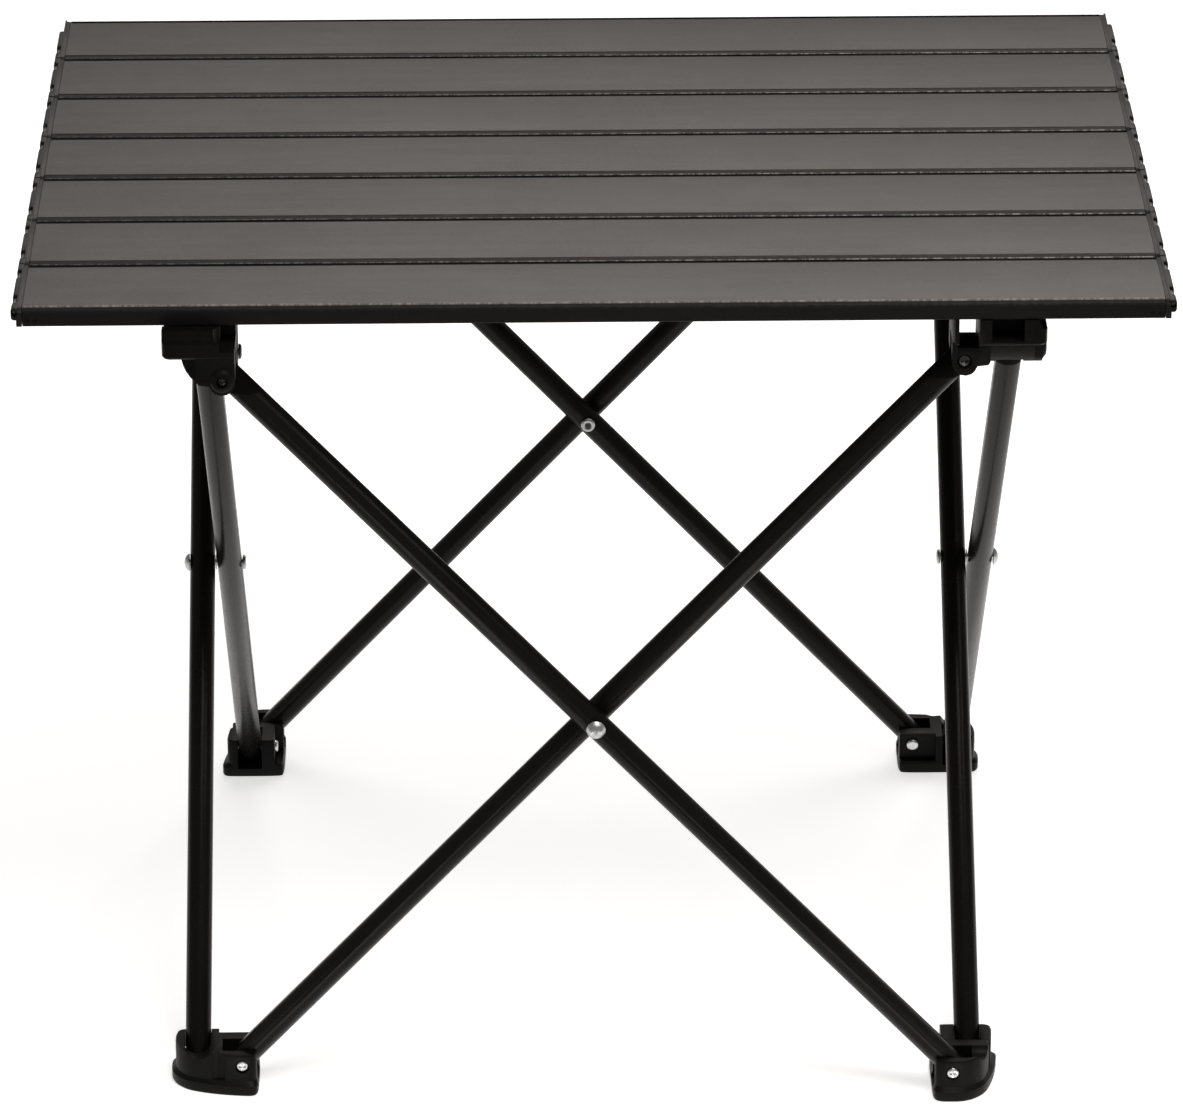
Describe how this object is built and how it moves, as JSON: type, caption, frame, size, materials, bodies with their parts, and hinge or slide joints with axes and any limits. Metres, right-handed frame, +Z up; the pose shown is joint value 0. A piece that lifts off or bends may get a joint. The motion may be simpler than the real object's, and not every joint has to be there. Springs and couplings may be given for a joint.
{
  "type": "folding side table",
  "caption": "Roll-top camping side table: slats with plastic end caps on elastic cords, resting on a four-sided folding scissor frame with corner hubs and feet.",
  "frame": {"origin": "on the floor under the middle of the table", "axes": "+X along the slats to the right, +Y to the back, +Z up"},
  "size_m": [0.56, 0.4396, 0.431],
  "materials": {
    "slat_powder": "satin fine powder coat, dark grey",
    "cap_plastic": "matte moulded, grey black",
    "cord_elastic": "braided sheath",
    "tube_black": "satin black coat",
    "hub_plastic": "fine moulded",
    "foot_plastic": "fine moulded",
    "rivet_metal": "bright",
    "screw_metal": "zinc plated"
  },
  "bodies": {
    "inner_front": {"leg_inner_front": "tube_black", "rivet_front": "rivet_metal"},
    "outer_front": {"leg_outer_front": "tube_black"},
    "hub_fl": {"hub_fl": "hub_plastic", "screw_hub_outer_fl": "screw_metal", "screw_hub_inner_fl": "screw_metal"},
    "foot_fl": {"foot_fl": "foot_plastic", "screw_foot_inner_fl": "screw_metal", "screw_foot_outer_fl": "screw_metal"},
    "inner_right": {"leg_inner_right": "tube_black", "rivet_right": "rivet_metal"},
    "outer_right": {"leg_outer_right": "tube_black"},
    "hub_fr": {"hub_fr": "hub_plastic", "screw_hub_outer_fr": "screw_metal", "screw_hub_inner_fr": "screw_metal"},
    "foot_fr": {"foot_fr": "foot_plastic", "screw_foot_inner_fr": "screw_metal", "screw_foot_outer_fr": "screw_metal"},
    "inner_back": {"leg_inner_back": "tube_black", "rivet_back": "rivet_metal"},
    "outer_back": {"leg_outer_back": "tube_black"},
    "hub_br": {"hub_br": "hub_plastic", "screw_hub_outer_br": "screw_metal", "screw_hub_inner_br": "screw_metal"},
    "foot_br": {"foot_br": "foot_plastic", "screw_foot_inner_br": "screw_metal", "screw_foot_outer_br": "screw_metal"},
    "inner_left": {"leg_inner_left": "tube_black", "rivet_left": "rivet_metal"},
    "outer_left": {"leg_outer_left": "tube_black"},
    "hub_bl": {"hub_bl": "hub_plastic", "screw_hub_outer_bl": "screw_metal", "screw_hub_inner_bl": "screw_metal"},
    "foot_bl": {"foot_bl": "foot_plastic", "screw_foot_inner_bl": "screw_metal", "screw_foot_outer_bl": "screw_metal"},
    "slat_1": {"slat_1": "slat_powder", "cap_l_1": "cap_plastic", "cap_r_1": "cap_plastic", "cord_l": "cord_elastic", "cord_r": "cord_elastic"},
    "slat_2": {"slat_2": "slat_powder", "cap_l_2": "cap_plastic", "cap_r_2": "cap_plastic"},
    "slat_3": {"slat_3": "slat_powder", "cap_l_3": "cap_plastic", "cap_r_3": "cap_plastic"},
    "slat_4": {"slat_4": "slat_powder", "cap_l_4": "cap_plastic", "cap_r_4": "cap_plastic"},
    "slat_5": {"slat_5": "slat_powder", "cap_l_5": "cap_plastic", "cap_r_5": "cap_plastic"},
    "slat_6": {"slat_6": "slat_powder", "cap_l_6": "cap_plastic", "cap_r_6": "cap_plastic"},
    "slat_7": {"slat_7": "slat_powder", "cap_l_7": "cap_plastic", "cap_r_7": "cap_plastic"}
  },
  "joints": [
    {"name": "fold", "type": "hinge", "parent": "foot_fl", "child": "inner_front", "pos_m": [-0.179, -0.188, 0.015], "axis": [0, -1, 0], "range_deg": [0, 38]},
    {"name": "cross_front", "type": "hinge", "parent": "inner_front", "child": "outer_front", "pos_m": [0, -0.195, 0.2055], "axis": [0, 1, 0], "range_deg": [0, 76]},
    {"name": "hub_fr_turn", "type": "hinge", "parent": "inner_front", "child": "hub_fr", "pos_m": [0.179, -0.188, 0.396], "axis": [0, 1, 0], "range_deg": [0, 38]},
    {"name": "hub_fl_turn", "type": "hinge", "parent": "outer_front", "child": "hub_fl", "pos_m": [-0.179, -0.202, 0.396], "axis": [0, -1, 0], "range_deg": [0, 38]},
    {"name": "foot_fr_turn", "type": "hinge", "parent": "outer_front", "child": "foot_fr", "pos_m": [0.179, -0.202, 0.015], "axis": [0, -1, 0], "range_deg": [0, 38]},
    {"name": "left_outer_turn", "type": "hinge", "parent": "foot_fl", "child": "outer_left", "pos_m": [-0.202, -0.179, 0.015], "axis": [1, 0, 0], "range_deg": [0, 38]},
    {"name": "cross_left", "type": "hinge", "parent": "outer_left", "child": "inner_left", "pos_m": [-0.195, 0, 0.2055], "axis": [-1, 0, 0], "range_deg": [0, 76]},
    {"name": "hub_bl_turn", "type": "hinge", "parent": "outer_left", "child": "hub_bl", "pos_m": [-0.202, 0.179, 0.396], "axis": [-1, 0, 0], "range_deg": [0, 38]},
    {"name": "foot_bl_turn", "type": "hinge", "parent": "inner_left", "child": "foot_bl", "pos_m": [-0.188, 0.179, 0.015], "axis": [1, 0, 0], "range_deg": [0, 38]},
    {"name": "right_inner_turn", "type": "hinge", "parent": "foot_fr", "child": "inner_right", "pos_m": [0.188, -0.179, 0.015], "axis": [1, 0, 0], "range_deg": [0, 38]},
    {"name": "cross_right", "type": "hinge", "parent": "inner_right", "child": "outer_right", "pos_m": [0.195, 0, 0.2055], "axis": [-1, 0, 0], "range_deg": [0, 76]},
    {"name": "hub_br_turn", "type": "hinge", "parent": "inner_right", "child": "hub_br", "pos_m": [0.188, 0.179, 0.396], "axis": [-1, 0, 0], "range_deg": [0, 38]},
    {"name": "foot_br_turn", "type": "hinge", "parent": "outer_right", "child": "foot_br", "pos_m": [0.202, 0.179, 0.015], "axis": [1, 0, 0], "range_deg": [0, 38]},
    {"name": "back_outer_turn", "type": "hinge", "parent": "hub_br", "child": "outer_back", "pos_m": [0.179, 0.202, 0.396], "axis": [0, -1, 0], "range_deg": [0, 38]},
    {"name": "cross_back", "type": "hinge", "parent": "outer_back", "child": "inner_back", "pos_m": [0, 0.195, 0.2055], "axis": [0, 1, 0], "range_deg": [0, 76]},
    {"name": "top_lift", "type": "slide", "parent": "hub_fr", "child": "slat_1", "axis": [0, 0, 1], "range_m": [0, 0.16]},
    {"name": "roll_1", "type": "hinge", "parent": "slat_1", "child": "slat_2", "pos_m": [0, -0.14857, 0.431], "axis": [1, 0, 0], "range_deg": [0, 50], "deforming": ["cord_l", "cord_r"]},
    {"name": "roll_2", "type": "hinge", "parent": "slat_2", "child": "slat_3", "pos_m": [0, -0.08914, 0.431], "axis": [1, 0, 0], "range_deg": [0, 50]},
    {"name": "roll_3", "type": "hinge", "parent": "slat_3", "child": "slat_4", "pos_m": [0, -0.02971, 0.431], "axis": [1, 0, 0], "range_deg": [0, 50]},
    {"name": "roll_4", "type": "hinge", "parent": "slat_4", "child": "slat_5", "pos_m": [0, 0.02971, 0.431], "axis": [1, 0, 0], "range_deg": [0, 50]},
    {"name": "roll_5", "type": "hinge", "parent": "slat_5", "child": "slat_6", "pos_m": [0, 0.08914, 0.431], "axis": [1, 0, 0], "range_deg": [0, 50]},
    {"name": "roll_6", "type": "hinge", "parent": "slat_6", "child": "slat_7", "pos_m": [0, 0.14857, 0.431], "axis": [1, 0, 0], "range_deg": [0, 50]}
  ],
  "couplings": [
    {"joint": "cross_front", "follows": "fold", "ratio": 2},
    {"joint": "hub_fr_turn", "follows": "fold", "ratio": 1},
    {"joint": "hub_fl_turn", "follows": "fold", "ratio": 1},
    {"joint": "foot_fr_turn", "follows": "fold", "ratio": 1},
    {"joint": "left_outer_turn", "follows": "fold", "ratio": 1},
    {"joint": "cross_left", "follows": "fold", "ratio": 2},
    {"joint": "hub_bl_turn", "follows": "fold", "ratio": 1},
    {"joint": "foot_bl_turn", "follows": "fold", "ratio": 1},
    {"joint": "right_inner_turn", "follows": "fold", "ratio": 1},
    {"joint": "cross_right", "follows": "fold", "ratio": 2},
    {"joint": "hub_br_turn", "follows": "fold", "ratio": 1},
    {"joint": "foot_br_turn", "follows": "fold", "ratio": 1},
    {"joint": "back_outer_turn", "follows": "fold", "ratio": 1},
    {"joint": "cross_back", "follows": "fold", "ratio": 2},
    {"joint": "roll_2", "follows": "roll_1", "ratio": 1},
    {"joint": "roll_3", "follows": "roll_1", "ratio": 1},
    {"joint": "roll_4", "follows": "roll_1", "ratio": 1},
    {"joint": "roll_5", "follows": "roll_1", "ratio": 1},
    {"joint": "roll_6", "follows": "roll_1", "ratio": 1}
  ]
}
